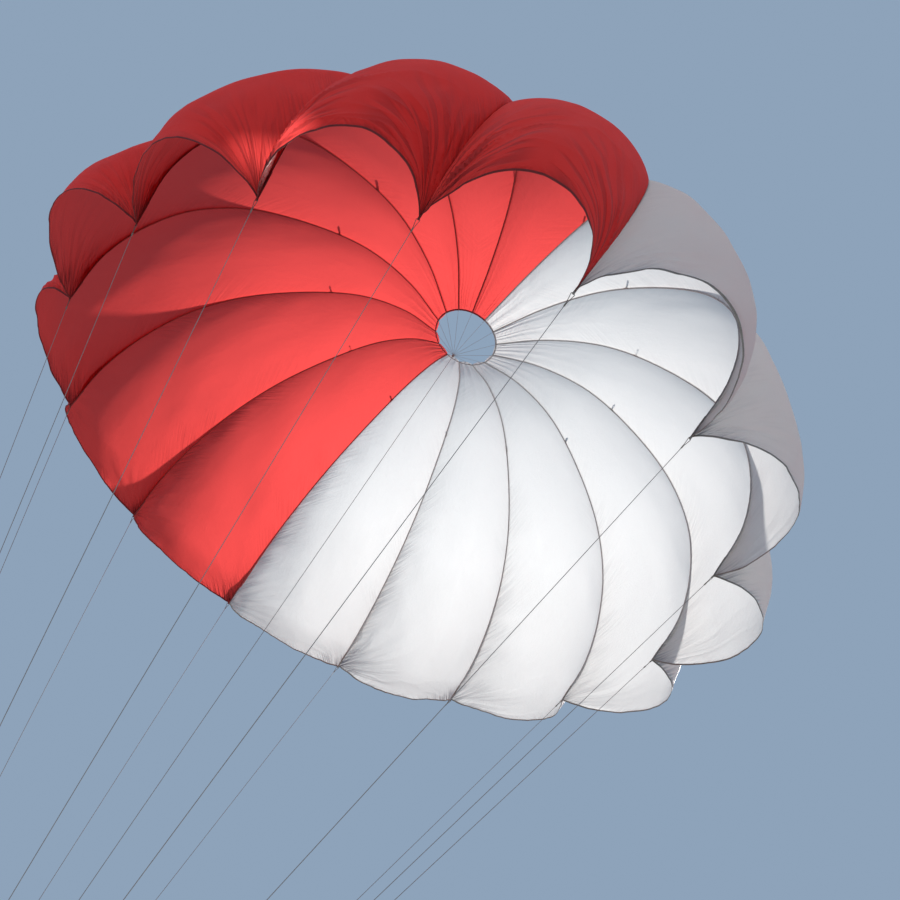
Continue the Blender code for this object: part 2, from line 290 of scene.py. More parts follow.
# %% Tapes, lines and webbing
def tape(name, colour, dark, thread, width, row=0.0016, stitch=0.0042):
    """Woven tape with a row of stitches along each side."""
    finish = Finish(name)
    where, across, along = finish.uv("tape")
    rib = finish.node("Math", {"operation": "PINGPONG"}, {0: along, 1: 0.0008})
    rib = finish.between(rib, 0.0, 0.0008)
    middle = finish.node("Math", {"operation": "ABSOLUTE"}, {0: across - width / 2})
    off_row = finish.node("Math", {"operation": "ABSOLUTE"}, {0: middle - (width / 2 - row)})
    on_row = finish.between(off_row, 0.0003, 0.0006, 1.0, 0.0)
    dash = finish.node("Math", {"operation": "PINGPONG"}, {0: along, 1: stitch / 2})
    sewn = on_row * finish.between(dash, stitch * 0.10, stitch * 0.14)
    worn = finish.noise(where, 18.0, 3.0, 0.6)
    shade = finish.tint(finish.between(worn + rib * 0.25, 0.35, 0.95), colour, dark)
    colours = {"data_type": "RGBA"}
    shade = finish.node("Mix", colours, {0: sewn, 6: shade, 7: (*thread, 1.0)}, out=2)
    relief = finish.bump(rib * 0.5 + sewn * 0.8 + worn * 0.5, 0.0006, 0.8)
    values = {"Base Color": shade, "Roughness": 0.72, "Normal": relief}
    return finish.surface(finish.node("BsdfPrincipled", {}, values))


def braid(name, colour, dark, diameter):
    """Braided cord: ridges that wind both ways round it, with painted shade in the grooves between them.
    """
    finish = Finish(name)
    where, around, along = finish.uv("tape")
    ridges = []
    for slope in (1.0, -1.0):
        turned = around * (slope * 0.7) + along
        ridge = finish.node("Math", {"operation": "PINGPONG"}, {0: turned, 1: diameter * 0.3})
        ridges.append(finish.between(ridge, 0.0, diameter * 0.3))
    plait = finish.node("Math", {"operation": "MAXIMUM"}, {0: ridges[0], 1: ridges[1]})
    grime = finish.noise(where, 9.0, 3.0, 0.6)
    # The grooves between the ridges are painted darker: painted shade, under random grime.
    shade = finish.tint(finish.between(grime * 0.7 + (1 - plait) * 0.5, 0.25, 0.85), colour, dark)
    relief = finish.bump(plait, diameter * 0.08, 0.6)
    values = {"Base Color": shade, "Roughness": 0.75, "Specular IOR Level": 0.2, "Normal": relief}
    return finish.surface(finish.node("BsdfPrincipled", {}, values))


def plain(name, colour, dark, roughness, scale):
    """A quiet finish with a little cloudiness, for thread and the floor."""
    finish = Finish(name)
    where = finish.node("TexCoord", {}, {}, out=3)
    cloud = finish.noise(where, scale, 3.0, 0.6)
    shade = finish.tint(finish.between(cloud, 0.3, 0.7), colour, dark)
    relief = finish.bump(cloud, 0.0004, 0.5)
    values = {"Base Color": shade, "Roughness": roughness, "Normal": relief}
    return finish.surface(finish.node("BsdfPrincipled", {}, values))


TAPE_WIDTH = 0.008
HEM_WIDTH = 0.011
WEB_WIDTH = 0.025
LINE_DIAMETER = 0.003
VENT_LINE = 0.0018

TAPE_COLOURS = {
    # (woven, worn and thread) of each tape
    "grey_seam_tape": ((0.46, 0.44, 0.42), (0.32, 0.30, 0.29), (0.55, 0.54, 0.52)),
    "dark_red_seam_tape": ((0.34, 0.018, 0.016), (0.20, 0.010, 0.010), (0.42, 0.035, 0.03)),
    "grey_hem_tape": ((0.30, 0.27, 0.24), (0.19, 0.17, 0.15), (0.42, 0.39, 0.36)),
    "dark_red_hem_tape": ((0.22, 0.018, 0.016), (0.12, 0.009, 0.009), (0.32, 0.035, 0.03)),
    "grey_vent_tape": ((0.42, 0.40, 0.40), (0.28, 0.26, 0.26), (0.50, 0.48, 0.46)),
    "dark_red_vent_tape": ((0.30, 0.02, 0.025), (0.16, 0.010, 0.014), (0.36, 0.04, 0.04)),
}


def two_tapes(place, width):
    """The tape of one place on white cloth and on red."""
    names = {"white": f"grey_{place}_tape", "red": f"dark_red_{place}_tape"}
    return {colour: tape(name, *TAPE_COLOURS[name], width) for colour, name in names.items()}


TAPES = two_tapes("seam", TAPE_WIDTH)
HEMS = two_tapes("hem", HEM_WIDTH)
VENT_TAPES = two_tapes("vent", HEM_WIDTH)
WEBBING = tape("riser_webbing", (0.10, 0.10, 0.105), (0.045, 0.045, 0.05), (0.55, 0.53, 0.48), WEB_WIDTH)
CORD = braid("braided_line", (0.38, 0.35, 0.33), (0.27, 0.24, 0.23), LINE_DIAMETER)
# The loops are the same cord as the lines, in a darker copy of its finish: painted shade that keeps the
# lit loops dark.
SHADED_LOOP_CORD = braid("line_loop", (0.20, 0.165, 0.14), (0.12, 0.10, 0.09), LINE_DIAMETER)
THREAD = plain("whipping_thread", (0.30, 0.27, 0.23), (0.20, 0.18, 0.15), 0.6, 400.0)
floor.data.materials.append(plain("pale_floor", (0.44, 0.435, 0.425), (0.425, 0.42, 0.41), 0.85, 1.5))
print("finishes:", len(bpy.data.materials))

# %% [markdown]
# ## The shape of the canopy
# The canopy is drawn as its maker would: one seam's course from the vent to the hem, fourteen times
# round, each hem point moved a little by the wind, and between two seams a gore that bellies out as
# an arc on their chord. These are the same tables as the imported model's, so the cloth lies where
# its solids are.

# %% Tables of the canopy
GORES = 14
MOUTH_HEIGHT = 4.78
FIRST_SEAM_DEG = -90.0
SEAM_COURSE = (
    # (radius, height above the mouth)
    (0.219, 1.606),
    (0.520, 1.770),
    (0.880, 1.839),
    (1.347, 1.708),
    (1.689, 1.474),
    (1.891, 1.178),
    (1.984, 0.834),
    (1.995, 0.445),
    (1.900, 0.000),
)
SEAM_TABLE = (
    # (out, turn in degrees, up) of each hem point
    (0.110, -3.0, -0.180),
    (0.010, -1.0, 0.050),
    (0.045, 0.8, 0.090),
    (0.015, -0.3, 0.080),
    (0.025, -1.6, 0.080),
    (0.010, -1.9, 0.065),
    (0.005, -2.0, 0.045),
    (-0.005, -0.7, 0.015),
    (0.015, 0.9, -0.030),
    (0.050, 2.3, -0.045),
    (0.030, 0.7, 0.005),
    (-0.085, 2.0, -0.045),
    (-0.120, 2.8, -0.110),
    (-0.115, 0.7, 0.005),
)
GORE_TABLE = (
    # (colour, belly share, tilt in degrees, lean, fan at each hem point, how drawn its right seam is)
    ("white", 0.47, 34.0, -0.03, 0.8, 0.8, 0.2),
    ("white", 0.47, 25.0, -0.06, 0.9, 0.7, 0.2),
    ("white", 0.46, 12.0, -0.28, 0.6, 0.9, 0.2),
    ("white", 0.42, 17.0, -0.24, 0.6, 0.9, 0.22),
    ("white", 0.31, 20.0, -0.10, 0.6, 1.1, 0.35),
    ("white", 0.24, 23.0, 0.06, 0.6, 1.3, 0.8),
    ("white", 0.35, 31.0, 0.18, 0.7, 1.3, 1.0),
    ("red", 0.38, 33.0, 0.12, 0.7, 1.3, 1.0),
    ("red", 0.35, 33.0, 0.16, 0.7, 1.3, 0.9),
    ("red", 0.39, 25.0, 0.34, 0.9, 1.0, 0.7),
    ("red", 0.42, 14.0, 0.22, 1.3, 1.1, 0.5),
    ("red", 0.41, 18.0, 0.03, 1.6, 1.4, 0.4),
    ("red", 0.47, 25.0, 0.12, 2.0, 1.8, 0.4),
    ("red", 0.47, 38.0, 0.26, 2.2, 1.8, 0.3),
)
FULLNESS = (
    # (share of the way from vent to hem, belly share), and the last is the gore's own
    (0.00, 0.04),
    (0.25, 0.10),
    (0.50, 0.16),
    (0.75, 0.23),
)
SMALL_STEP = 0.01
UP = np.array((0.0, 0.0, 1.0))


# %% From the tables to points
def smooth_value(table, share):
    """A smooth curve through rows of (share, value), by cubic steps between rows."""
    shares, values = np.array(table, float).T
    slopes = np.gradient(values, shares)
    share = np.asarray(share, float)
    i = np.clip(np.searchsorted(shares, share) - 1, 0, len(shares) - 2)
    step = shares[i + 1] - shares[i]
    x = (share - shares[i]) / step
    return (
        values[i] * (1 + 2 * x) * (1 - x) ** 2
        + slopes[i] * step * x * (1 - x) ** 2
        + values[i + 1] * x * x * (3 - 2 * x)
        + slopes[i + 1] * step * x * x * (x - 1)
    )


COURSE = np.array(SEAM_COURSE)
STEPS = np.concatenate([[0.0], np.cumsum(np.linalg.norm(np.diff(COURSE, axis=0), axis=1))])
SEAM_LENGTH = STEPS[-1]
COURSE_RADIUS = list(zip(STEPS / SEAM_LENGTH, COURSE[:, 0]))
COURSE_HEIGHT = list(zip(STEPS / SEAM_LENGTH, COURSE[:, 1]))


def seam_point(seam, share):
    """Points of a seam, 0 at the vent and 1 at its hem point."""
    out, turn, up = SEAM_TABLE[seam % GORES]
    share = np.asarray(share, float)
    fade = share**2
    angle = np.radians(FIRST_SEAM_DEG + seam * 360 / GORES + turn * fade)
    radius = smooth_value(COURSE_RADIUS, share) + out * fade
    height = MOUTH_HEIGHT + smooth_value(COURSE_HEIGHT, share) + up * fade
    return np.stack([radius * np.cos(angle), radius * np.sin(angle), height], -1)


def gore_arc(gore, share):
    """The arc of a gore at each share: chord's middle and half, radius, spread and directions."""
    share = np.asarray(share, float)
    left, right = seam_point(gore, share), seam_point(gore + 1, share)
    above = seam_point(gore, share - SMALL_STEP) + seam_point(gore + 1, share - SMALL_STEP)
    below = seam_point(gore, share + SMALL_STEP) + seam_point(gore + 1, share + SMALL_STEP)
    chord = unit(right - left)
    normal = unit(np.cross(chord, above - below))
    belly, tilt, lean = GORE_TABLE[gore][1:4]
    turn = (np.radians(tilt) * share**6)[:, None]
    outward = normal * np.cos(turn) + unit(np.cross(normal, chord)) * np.sin(turn)
    half = np.linalg.norm(right - left, axis=1) / 2
    depth = 2 * half * smooth_value(FULLNESS + ((1.0, belly),), share)
    radius = (depth**2 + half**2) / (2 * depth)
    spread = 2 * np.arctan(depth / half)
    return (left + right) / 2, radius, depth, spread, chord, outward, lean * share**2


def gore_points(gore, across, share):
    """Grid of a gore's points, rows down it and columns across, before any fold."""
    middle, radius, depth, spread, chord, outward, lean = gore_arc(gore, share)
    angle = across * spread[:, None]
    outwards = radius[:, None] * np.cos(angle) - (radius - depth)[:, None]
    sideways = radius[:, None] * np.sin(angle) + lean[:, None] * outwards
    return middle[:, None] + sideways[..., None] * chord[:, None] + outwards[..., None] * outward[:, None]


print("seam length", round(float(SEAM_LENGTH), 3), "m; hem points at", MOUTH_HEIGHT, "m")

# %% [markdown]
# ## Folds
# Cloth that is pulled by lines and sewn to tape is never smooth. Each kind of fold has its own
# cause, so each is written on its own: small gathers where thread has drawn up a seam, pleats round
# the vent, ripples at the hem, and a fan of long folds from every hem point, where the line's pull
# spreads into the cloth. They are heights across the cloth's face, in metres, and every one of them
# fades to nothing at the seam itself, so that neighbouring gores meet.

# %% Folds as heights
SEAM_GATHER = (0.0030, 0.030, 0.095)  # height, spacing, reach
SEAM_SLANT = 1.1  # how far a gather climbs towards the vent for each step away from the seam
HEM_RIPPLE = (0.0026, 0.034, 0.070)  # height, spacing, reach
VENT_PLEAT = (0.0080, 9, 0.220)  # height, pleats across a gore, reach
FAN_FOLD = (0.0200, 7.0, 0.34)  # height, folds in the corner, reach
SLACK = (0.0130, 0.26, 0.60)  # height, size across, size along
PILLOW = (0.0060, 0.040)  # how far the cloth stands off beside a seam, and its reach
DRAWN_PILLOW = (0.0300, 0.110)  # the same beside a seam that is drawn up hard
SEAM_FADE = 0.006  # within this of a seam every fold fades out
FAN_CREASES = 16  # across a right angle at a hem point
STREAK_REACH = 0.150  # of the finest gathers from a seam
HEM_STREAK_REACH = 0.150  # and from the hem


def waver(x, seed):
    """Smooth irregular waves from -1 to 1, about one for each whole number."""
    table = np.random.default_rng(seed).uniform(-1, 1, 509)
    i = np.floor(x).astype(int)
    f = x - i
    f = f * f * (3 - 2 * f)
    return table[i % 509] * (1 - f) + table[(i + 1) % 509] * f


def waver_2d(x, y, seed):
    """The same over a surface."""
    table = np.random.default_rng(seed).uniform(-1, 1, (61, 67))
    i, j = np.floor(x).astype(int), np.floor(y).astype(int)
    f, g = x - i, y - j
    f, g = f * f * (3 - 2 * f), g * g * (3 - 2 * g)
    near = table[i % 61, j % 67] * (1 - f) + table[(i + 1) % 61, j % 67] * f
    far = table[i % 61, (j + 1) % 67] * (1 - f) + table[(i + 1) % 61, (j + 1) % 67] * f
    return near * (1 - g) + far * g


def crease(waves):
    """Waves drawn up into narrow ridges with wide flats between."""
    return 1 - 2 * np.abs(waves) ** 0.6


def rise_between(x, low, high):
    """0 up to low, 1 from high, and smooth between."""
    x = np.clip((x - low) / (high - low), 0, 1)
    return x * x * (3 - 2 * x)


def seam_sides(gore, to_left, to_right):
    """For each side of a gore: its number, distance to it, fan of folds and how hard it is drawn."""
    fan_left, fan_right, drawn = GORE_TABLE[gore][4:7]
    return ((1, to_left, fan_left, 0.15), (2, to_right, fan_right, drawn))


def fold_heights(gore, to_left, to_right, from_vent, to_hem):
    """Height of every fold at each point, from its distances along the cloth to the four edges."""
    seed = 100 * gore
    lower = rise_between(from_vent / (from_vent + to_hem), 0.35, 0.80)
    height = np.zeros_like(to_left)
    for side, away, fan, drawn in seam_sides(gore, to_left, to_right):
        size, spacing, reach = SEAM_GATHER
        strength = 0.35 + 0.65 * np.abs(waver(from_vent / 0.33, seed + side))
        strength = strength * (0.5 + drawn * lower)
        slanted = from_vent + SEAM_SLANT * away
        gathers = crease(waver(slanted / spacing, seed + side + 2))
        height += size * strength * gathers * np.exp(-away / (reach * (0.4 + strength)))
        size, reach = PILLOW
        height += size * (1 - np.exp(-away / reach)) * rise_between(to_hem, 0.0, 0.3)
        size, reach = DRAWN_PILLOW
        height += size * drawn**2 * lower * (1 - np.exp(-away / reach)) * rise_between(to_hem, 0.0, 0.3)
        size, folds, reach = FAN_FOLD
        distance = np.hypot(away, to_hem)
        turn = np.arctan2(away, to_hem) / (np.pi / 2)
        wander = 0.25 * waver(distance / 0.12, seed + 20 + side)
        ridges = crease(waver(turn * folds + wander, seed + 10 + side))
        strength = 0.4 + 0.6 * np.abs(waver(turn * 4, seed + 14 + side))
        run = distance / (reach * np.sqrt(np.maximum(fan, 0.5)))
        strength = strength * rise_between(distance, 0.03, 0.22)
        height += size * fan * strength * ridges * run * np.exp(1 - 2.2 * run)
    size, count, reach = VENT_PLEAT
    share = to_left / (to_left + to_right)
    pleats = crease(waver(share * count + 0.2 * waver(from_vent / 0.06, seed + 7), seed + 5))
    rise = 1 - np.exp(-from_vent / 0.03)
    height += size * pleats * rise * np.exp(-from_vent / reach)
    size, spacing, reach = HEM_RIPPLE
    ripples = waver(to_left / spacing + 0.3 * waver(to_hem / 0.05, seed + 9), seed + 8)
    height += size * ripples * np.exp(-to_hem / reach)
    size, wide, long = SLACK
    slack = waver_2d(to_left / wide + 0.4 * from_vent / long, from_vent / long, seed + 30)
    slack += 0.5 * waver_2d(to_left * 2.3 / wide, from_vent * 2.0 / long, seed + 31)
    height += size * (0.4 + 0.6 * lower) * slack * np.minimum(1, np.minimum(to_left, to_right) / 0.15)
    edge = np.minimum(to_left, to_right)
    return height * (1 - np.exp(-((edge / SEAM_FADE) ** 2)))


def fine_gathers(gore, to_left, to_right, from_vent, to_hem):
    """Map of the finest gathers, which lie slanted to the seams, and how deep they are drawn."""
    seed = 100 * gore
    lower = rise_between(from_vent / (from_vent + to_hem), 0.30, 0.75)
    running = from_vent + SEAM_SLANT * np.minimum(to_left, to_right)
    stretched = 0.06 * (to_left - to_right) + gore
    depth = np.zeros_like(to_left)
    for side, away, _, drawn in seam_sides(gore, to_left, to_right):
        patch = 0.45 + 0.55 * np.abs(waver(from_vent / 0.22, seed + 40 + side))
        depth += (0.12 + drawn * lower) * patch * np.exp(-((away / (STREAK_REACH * patch)) ** 1.5))
    patch = 0.2 + 1.2 * np.exp(-to_left / 0.20) + 0.5 * np.exp(-to_right / 0.15)
    patch = patch * (0.7 + 0.3 * waver(to_left / 0.09, seed + 44))
    depth += 1.3 * patch * np.exp(-((to_hem / (HEM_STREAK_REACH * patch)) ** 1.5))
    return np.stack([running, stretched], -1), np.minimum(depth, 1.4)


def corner_fans(gore, to_left, to_right, to_hem):
    """Map of the long folds that fan out from each hem point, and how deep they are drawn."""
    reach = FAN_FOLD[2]
    depth, fans = 0.0, []
    middle = np.abs(to_left - to_right)
    for side, away, fan, _ in seam_sides(gore, to_left, to_right):
        distance = np.hypot(away, to_hem)
        turn = np.arctan2(away, to_hem) / (np.pi / 2)
        fans.append(np.stack([FAN_CREASES * turn + 40 * side + 90 * gore, distance / 0.35], -1))
        run = distance / (reach * np.sqrt(fan))
        depth = depth + max(fan - 0.55, 0.0) * 0.75 * np.minimum(run * 12, 1) * np.exp(-1.3 * run**1.4)
    nearer = (to_left < to_right)[..., None]
    return np.where(nearer, fans[0], fans[1]), np.minimum(depth, 1.1) * rise_between(middle, 0.0, 0.25)


# %% [markdown]
# ## Cutting the gores
# A gore is a fine grid, closer together at the seams and the hem, where the small folds
# are. Distances are measured along the cloth, and the same distances give its flat map, on which
# the ripstop grid is drawn, and its flat size.

# %% The grid of a gore
COLUMNS = 60
ROWS = 460
SEAM_CROWDING = 0.45
HEM_CROWDING = 0.35
across_even = np.linspace(-1, 1, COLUMNS + 1)
ACROSS = (1 - SEAM_CROWDING) * across_even + SEAM_CROWDING * np.sin(across_even * np.pi / 2)
share_even = np.linspace(0, 1, ROWS + 1)
SHARE = share_even + HEM_CROWDING * np.sin(share_even * np.pi) / np.pi


def run_along(points, axis):
    """Distance travelled from the first row or column to each."""
    steps = np.linalg.norm(np.diff(points, axis=axis), axis=2)
    return np.insert(np.cumsum(steps, axis=axis), 0, 0.0, axis=axis)


def face_directions(points):
    """The direction square to the grid at each point, away from the canopy's inside."""
    return unit(np.cross(np.gradient(points, axis=1), -np.gradient(points, axis=0)))


def cut_gore(gore, across=ACROSS, share=SHARE):
    """A gore's folded points, and each one's distances along the cloth to its four edges."""
    smooth = gore_points(gore, across, share)
    over, down = run_along(smooth, 1), run_along(smooth, 0)
    to_left, to_right = over, over[:, -1:] - over
    from_vent, to_hem = down, down[-1:] - down
    normals = face_directions(smooth)
    height = fold_heights(gore, to_left, to_right, from_vent, to_hem)
    return smooth + normals * height[..., None], to_left, to_right, from_vent, to_hem


def grid_faces(rows, columns):
    """Faces of a grid of points, in rows."""
    r, c = np.meshgrid(np.arange(rows - 1), np.arange(columns - 1), indexing="ij")
    corner = r * columns + c
    corners = (corner, corner + 1, corner + columns + 1, corner + columns)
    return np.stack(corners, -1).reshape(-1, 4)


def add_mesh(name, points, faces, finish, maps=None, map_name="tape"):
    """A smooth mesh from arrays of points and four-cornered faces, with a flat map in metres."""
    mesh = bpy.data.meshes.new(name)
    mesh.vertices.add(len(points))
    mesh.vertices.foreach_set("co", np.asarray(points, np.float32).ravel())
    mesh.loops.add(faces.size)
    mesh.loops.foreach_set("vertex_index", faces.astype(np.int32).ravel())
    mesh.polygons.add(len(faces))
    mesh.polygons.foreach_set("loop_start", np.arange(0, faces.size, 4, dtype=np.int32))
    mesh.update(calc_edges=True)
    mesh.shade_smooth()
    if maps is not None:
        layer = mesh.uv_layers.new(name=map_name)
        layer.uv.foreach_set("vector", np.asarray(maps, np.float32).ravel())
    mesh.materials.append(finish)
    made = bpy.data.objects.new(name, mesh)
    scene.collection.objects.link(made)
    return made


def settle(piece, slot, *nodes):
    """Every piece moves with the one body and may stand for CAD nodes; its slot is not used."""
    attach(piece, "root")
    if nodes:
        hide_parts(*nodes)
    return piece


# %% Fourteen gores
cloth_area = 0.0
for gore in range(GORES):
    colour = GORE_TABLE[gore][0]
    points, *distances = cut_gore(gore)
    to_left, to_right, from_vent, to_hem = distances
    faces = grid_faces(*points.shape[:2])
    centred = to_left - to_left[:, -1:] / 2
    flat_map = np.stack([centred, from_vent], -1).reshape(-1, 2)
    finish = WHITE_CLOTH if colour == "white" else RED_CLOTH
    cloth = add_mesh(
        f"cloth_{gore + 1:02d}", points.reshape(-1, 3), faces, finish, flat_map[faces.ravel()], "cloth"
    )
    gathers, drawn = fine_gathers(gore, *distances)
    fans, fanned = corner_fans(gore, to_left, to_right, to_hem)
    for name, spots in (("gathers", gathers), ("fans", fans)):
        layer = cloth.data.uv_layers.new(name=name)
        layer.uv.foreach_set("vector", spots.reshape(-1, 2)[faces.ravel()].astype(np.float32).ravel())
    depths = {"from_seam": np.minimum(to_left, to_right), "drawn": drawn, "fanned": fanned}
    for name, values in depths.items():
        attribute = cloth.data.attributes.new(name, "FLOAT", "POINT")
        attribute.data.foreach_set("value", values.astype(np.float32).ravel())
    settle(cloth, f"{colour}_ripstop", f"gore_{gore + 1:02d}")
    width, length = float(to_left[:, -1].max()), float(from_vent[-1].max())
    widths, rows_apart = to_left[:, -1], np.diff(from_vent.mean(1))
    area = float(((widths[1:] + widths[:-1]) / 2 * rows_apart).sum())
    cloth_area += area
    print(cloth.name, colour, "cut", round(width, 3), "by", round(length, 3), "m,", round(area, 3), "m2")
print("cloth in all:", round(cloth_area, 2), "m2")

# %% [markdown]
# ## Tapes that follow a line
# A tape, a binding and a cord are all one section carried along a path. The section is a short list
# of corners, a little rounded, and at each step along the path it is set out on two directions,
# one across the tape and one through its thickness. Paths carry fine waves of their own, because
# sewn tape is never dead straight.


# %% Carrying a section along a path
def flat_section(width, thick):
    """Eight corners of a flat tape with softened edges, and its map across."""
    w, t, soft = width / 2, thick / 2, min(thick * 0.35, width * 0.1)
    half = [(-w, -t + soft), (-w + soft, -t), (w - soft, -t), (w, -t + soft)]
    corners = np.array(half + [(-a, -b) for a, b in half])
    across = corners[:, 0] + w
    return corners, np.append(across, across[0])


def round_section(diameter, count=8):
    """Corners of a round cord, and its map round."""
    turn = np.arange(count + 1) * 2 * np.pi / count
    corners = np.stack([np.cos(turn[:-1]), np.sin(turn[:-1])], -1) * diameter / 2
    return corners, turn * diameter / 2


def sweep_arrays(path, wide, section, ring=False, grow=None):
    """Points, faces and map of a section carried along a path. Its thickness is square to both."""
    path = np.asarray(path, float)
    corners, around = section
    count, sides = len(path), len(corners)
    if ring:
        along = unit(np.roll(path, -1, 0) - np.roll(path, 1, 0))
    else:
        along = unit(np.gradient(path, axis=0))
    wide = unit(wide - along * np.sum(wide * along, -1, keepdims=True))
    thick = np.cross(along, wide)
    grow = np.ones(count) if grow is None else np.asarray(grow)
    sized = corners[None] * grow[:, None, None]
    points = path[:, None] + sized[..., :1] * wide[:, None] + sized[..., 1:] * thick[:, None]
    r, c = np.meshgrid(np.arange(count if ring else count - 1), np.arange(sides), indexing="ij")
    below, beside = (r + 1) % count, (c + 1) % sides
    faces = np.stack([r * sides + c, r * sides + beside, below * sides + beside, below * sides + c], -1)
    lengths = np.linalg.norm(np.diff(np.vstack([path, path[:1]]), axis=0), axis=1)
    run = np.concatenate([[0.0], np.cumsum(lengths)])
    u = np.stack([around[c], around[c + 1], around[c + 1], around[c]], -1)
    v = np.stack([run[r], run[r], run[r + 1], run[r + 1]], -1)
    faces, maps = faces.reshape(-1, 4), np.stack([u, v], -1).reshape(-1, 4, 2)
    if not ring:
        k = np.arange(sides // 2 - 1)
        lid = np.stack([k, (sides - 1 - k), (sides - 2 - k), k + 1], -1)
        ends = np.concatenate([lid, lid[:, ::-1] + (count - 1) * sides])
        flat = np.zeros((len(ends), 4, 2)) + around[ends[:, :1, None] % sides]
        faces, maps = np.concatenate([faces, ends]), np.concatenate([maps, flat])
    return points.reshape(-1, 3), faces, maps


def add_swept(name, parts, finish):
    """One piece from one or more sweeps."""
    points, faces, maps, start = [], [], [], 0
    for some_points, some_faces, some_maps in parts:
        points.append(some_points)
        faces.append(some_faces + start)
        maps.append(some_maps)
        start += len(some_points)
    maps = np.concatenate(maps).reshape(-1, 2)
    return add_mesh(name, np.concatenate(points), np.concatenate(faces), finish, maps)


def round_table(table, count):
    """Points of a smooth path through rows of numbers."""
    table = np.array(table, float)
    shares = np.linspace(0, 1, len(table))
    spots = np.linspace(0, 1, count)
    return np.stack([smooth_value(list(zip(shares, column)), spots) for column in table.T], -1)


def seam_frame(seam, share):
    """A seam's points, and the direction across its tape, which lies level."""
    centre = seam_point(seam, share)
    along = unit(seam_point(seam, share + SMALL_STEP) - seam_point(seam, share - SMALL_STEP))
    across = unit(np.cross(UP, centre * (1, 1, 0)))
    across = unit(across - along * np.sum(across * along, -1, keepdims=True))
    return centre, across, np.cross(along, across)


print("sections are carried along seams of", round(float(SEAM_LENGTH), 3), "m")

# %% [markdown]
# ## Seam tapes and hem bindings
# The seam tape runs from under the vent's binding to the hem point. The hem binding is tape folded
# round the cloth's cut edge, so it takes its path and its slope from the last rows of the cloth
# itself and ripples with it.

# %% Seam tapes
TAPE_THICK = 0.0024
THIN_TAPE = 0.0013  # thickness of packing loops and hem point tapes
VENT_TUCK = 0.0060
SEAM_STEPS = 260
for seam in range(GORES):
    colour = GORE_TABLE[seam][0]
    shares = np.linspace(VENT_TUCK / SEAM_LENGTH, 1, SEAM_STEPS)
    centre, across, through = seam_frame(seam, shares)
    run = shares * SEAM_LENGTH
    sway = 0.0007 * waver(run / 0.030, 900 + seam) + 0.0004 * waver(run / 0.011, 920 + seam)
    path = centre + through * sway[:, None] + across * (0.6 * np.roll(sway, 7))[:, None]
    width = 1 + 0.06 * waver(run / 0.05, 940 + seam)
    strip = sweep_arrays(path, across, flat_section(TAPE_WIDTH, TAPE_THICK), grow=width)
    piece = add_swept(f"seam_band_{seam + 1:02d}", [strip], TAPES[colour])
    settle(piece, f"{colour}_seam_tape", f"seam_tape_{seam + 1:02d}")
print("seam tapes:", GORES, "of", round(float(SEAM_LENGTH), 2), "m")

# %% [markdown]
# A third of the way down each seam a small loop of the same tape stands up from the outer face.
# Cord can be passed through these loops when the canopy is packed.

# %% Packing loops
TAB_SHARE = 0.30
TAB_WIDTH = 0.012
TAB_SHAPE = (
    # (along the seam, out from it)
    (-0.0160, 0.0024),
    (-0.0060, 0.0026),
    (-0.0020, 0.0100),
    (-0.0036, 0.0300),
    (-0.0042, 0.0440),
    (0.0000, 0.0500),
    (0.0042, 0.0440),
    (0.0036, 0.0300),
    (0.0020, 0.0100),
    (0.0060, 0.0026),
    (0.0160, 0.0024),
)
tab_loop = round_table(TAB_SHAPE, 60)
for seam in range(GORES):
    colour = GORE_TABLE[seam][0]
    centre, across, through = (row[0] for row in seam_frame(seam, np.array([TAB_SHARE])))
    lean = unit(through + 0.25 * waver(np.array([seam * 1.7]), 970)[0] * across)
    path = centre + tab_loop[:, :1] * np.cross(across, through) + tab_loop[:, 1:] * lean
    strip = sweep_arrays(path, across, flat_section(TAB_WIDTH, THIN_TAPE))
    piece = add_swept(f"packing_loop_{seam + 1:02d}", [strip], TAPES[colour])
    settle(piece, f"{colour}_seam_tape")
print("packing loops:", GORES)

# %% Hem bindings
HEM_THICK = 0.0026
HEM_LAP = 0.0035  # the binding's middle above the cloth's edge
for gore in range(GORES):
    colour = GORE_TABLE[gore][0]
    cloth = bpy.data.objects[f"cloth_{gore + 1:02d}"].data
    points = np.empty(len(cloth.vertices) * 3, np.float32)
    cloth.vertices.foreach_get("co", points)
    points = points.reshape(ROWS + 1, COLUMNS + 1, 3).astype(float)
    rise = unit(points[-5] - points[-1])
    path = points[-1] + rise * HEM_LAP
    strip = sweep_arrays(path, rise, flat_section(HEM_WIDTH, HEM_THICK))
    piece = add_swept(f"hem_band_{gore + 1:02d}", [strip], HEMS[colour])
    settle(piece, f"{colour}_hem_tape", f"hem_binding_{gore + 1:02d}")
print("hem bindings:", GORES)
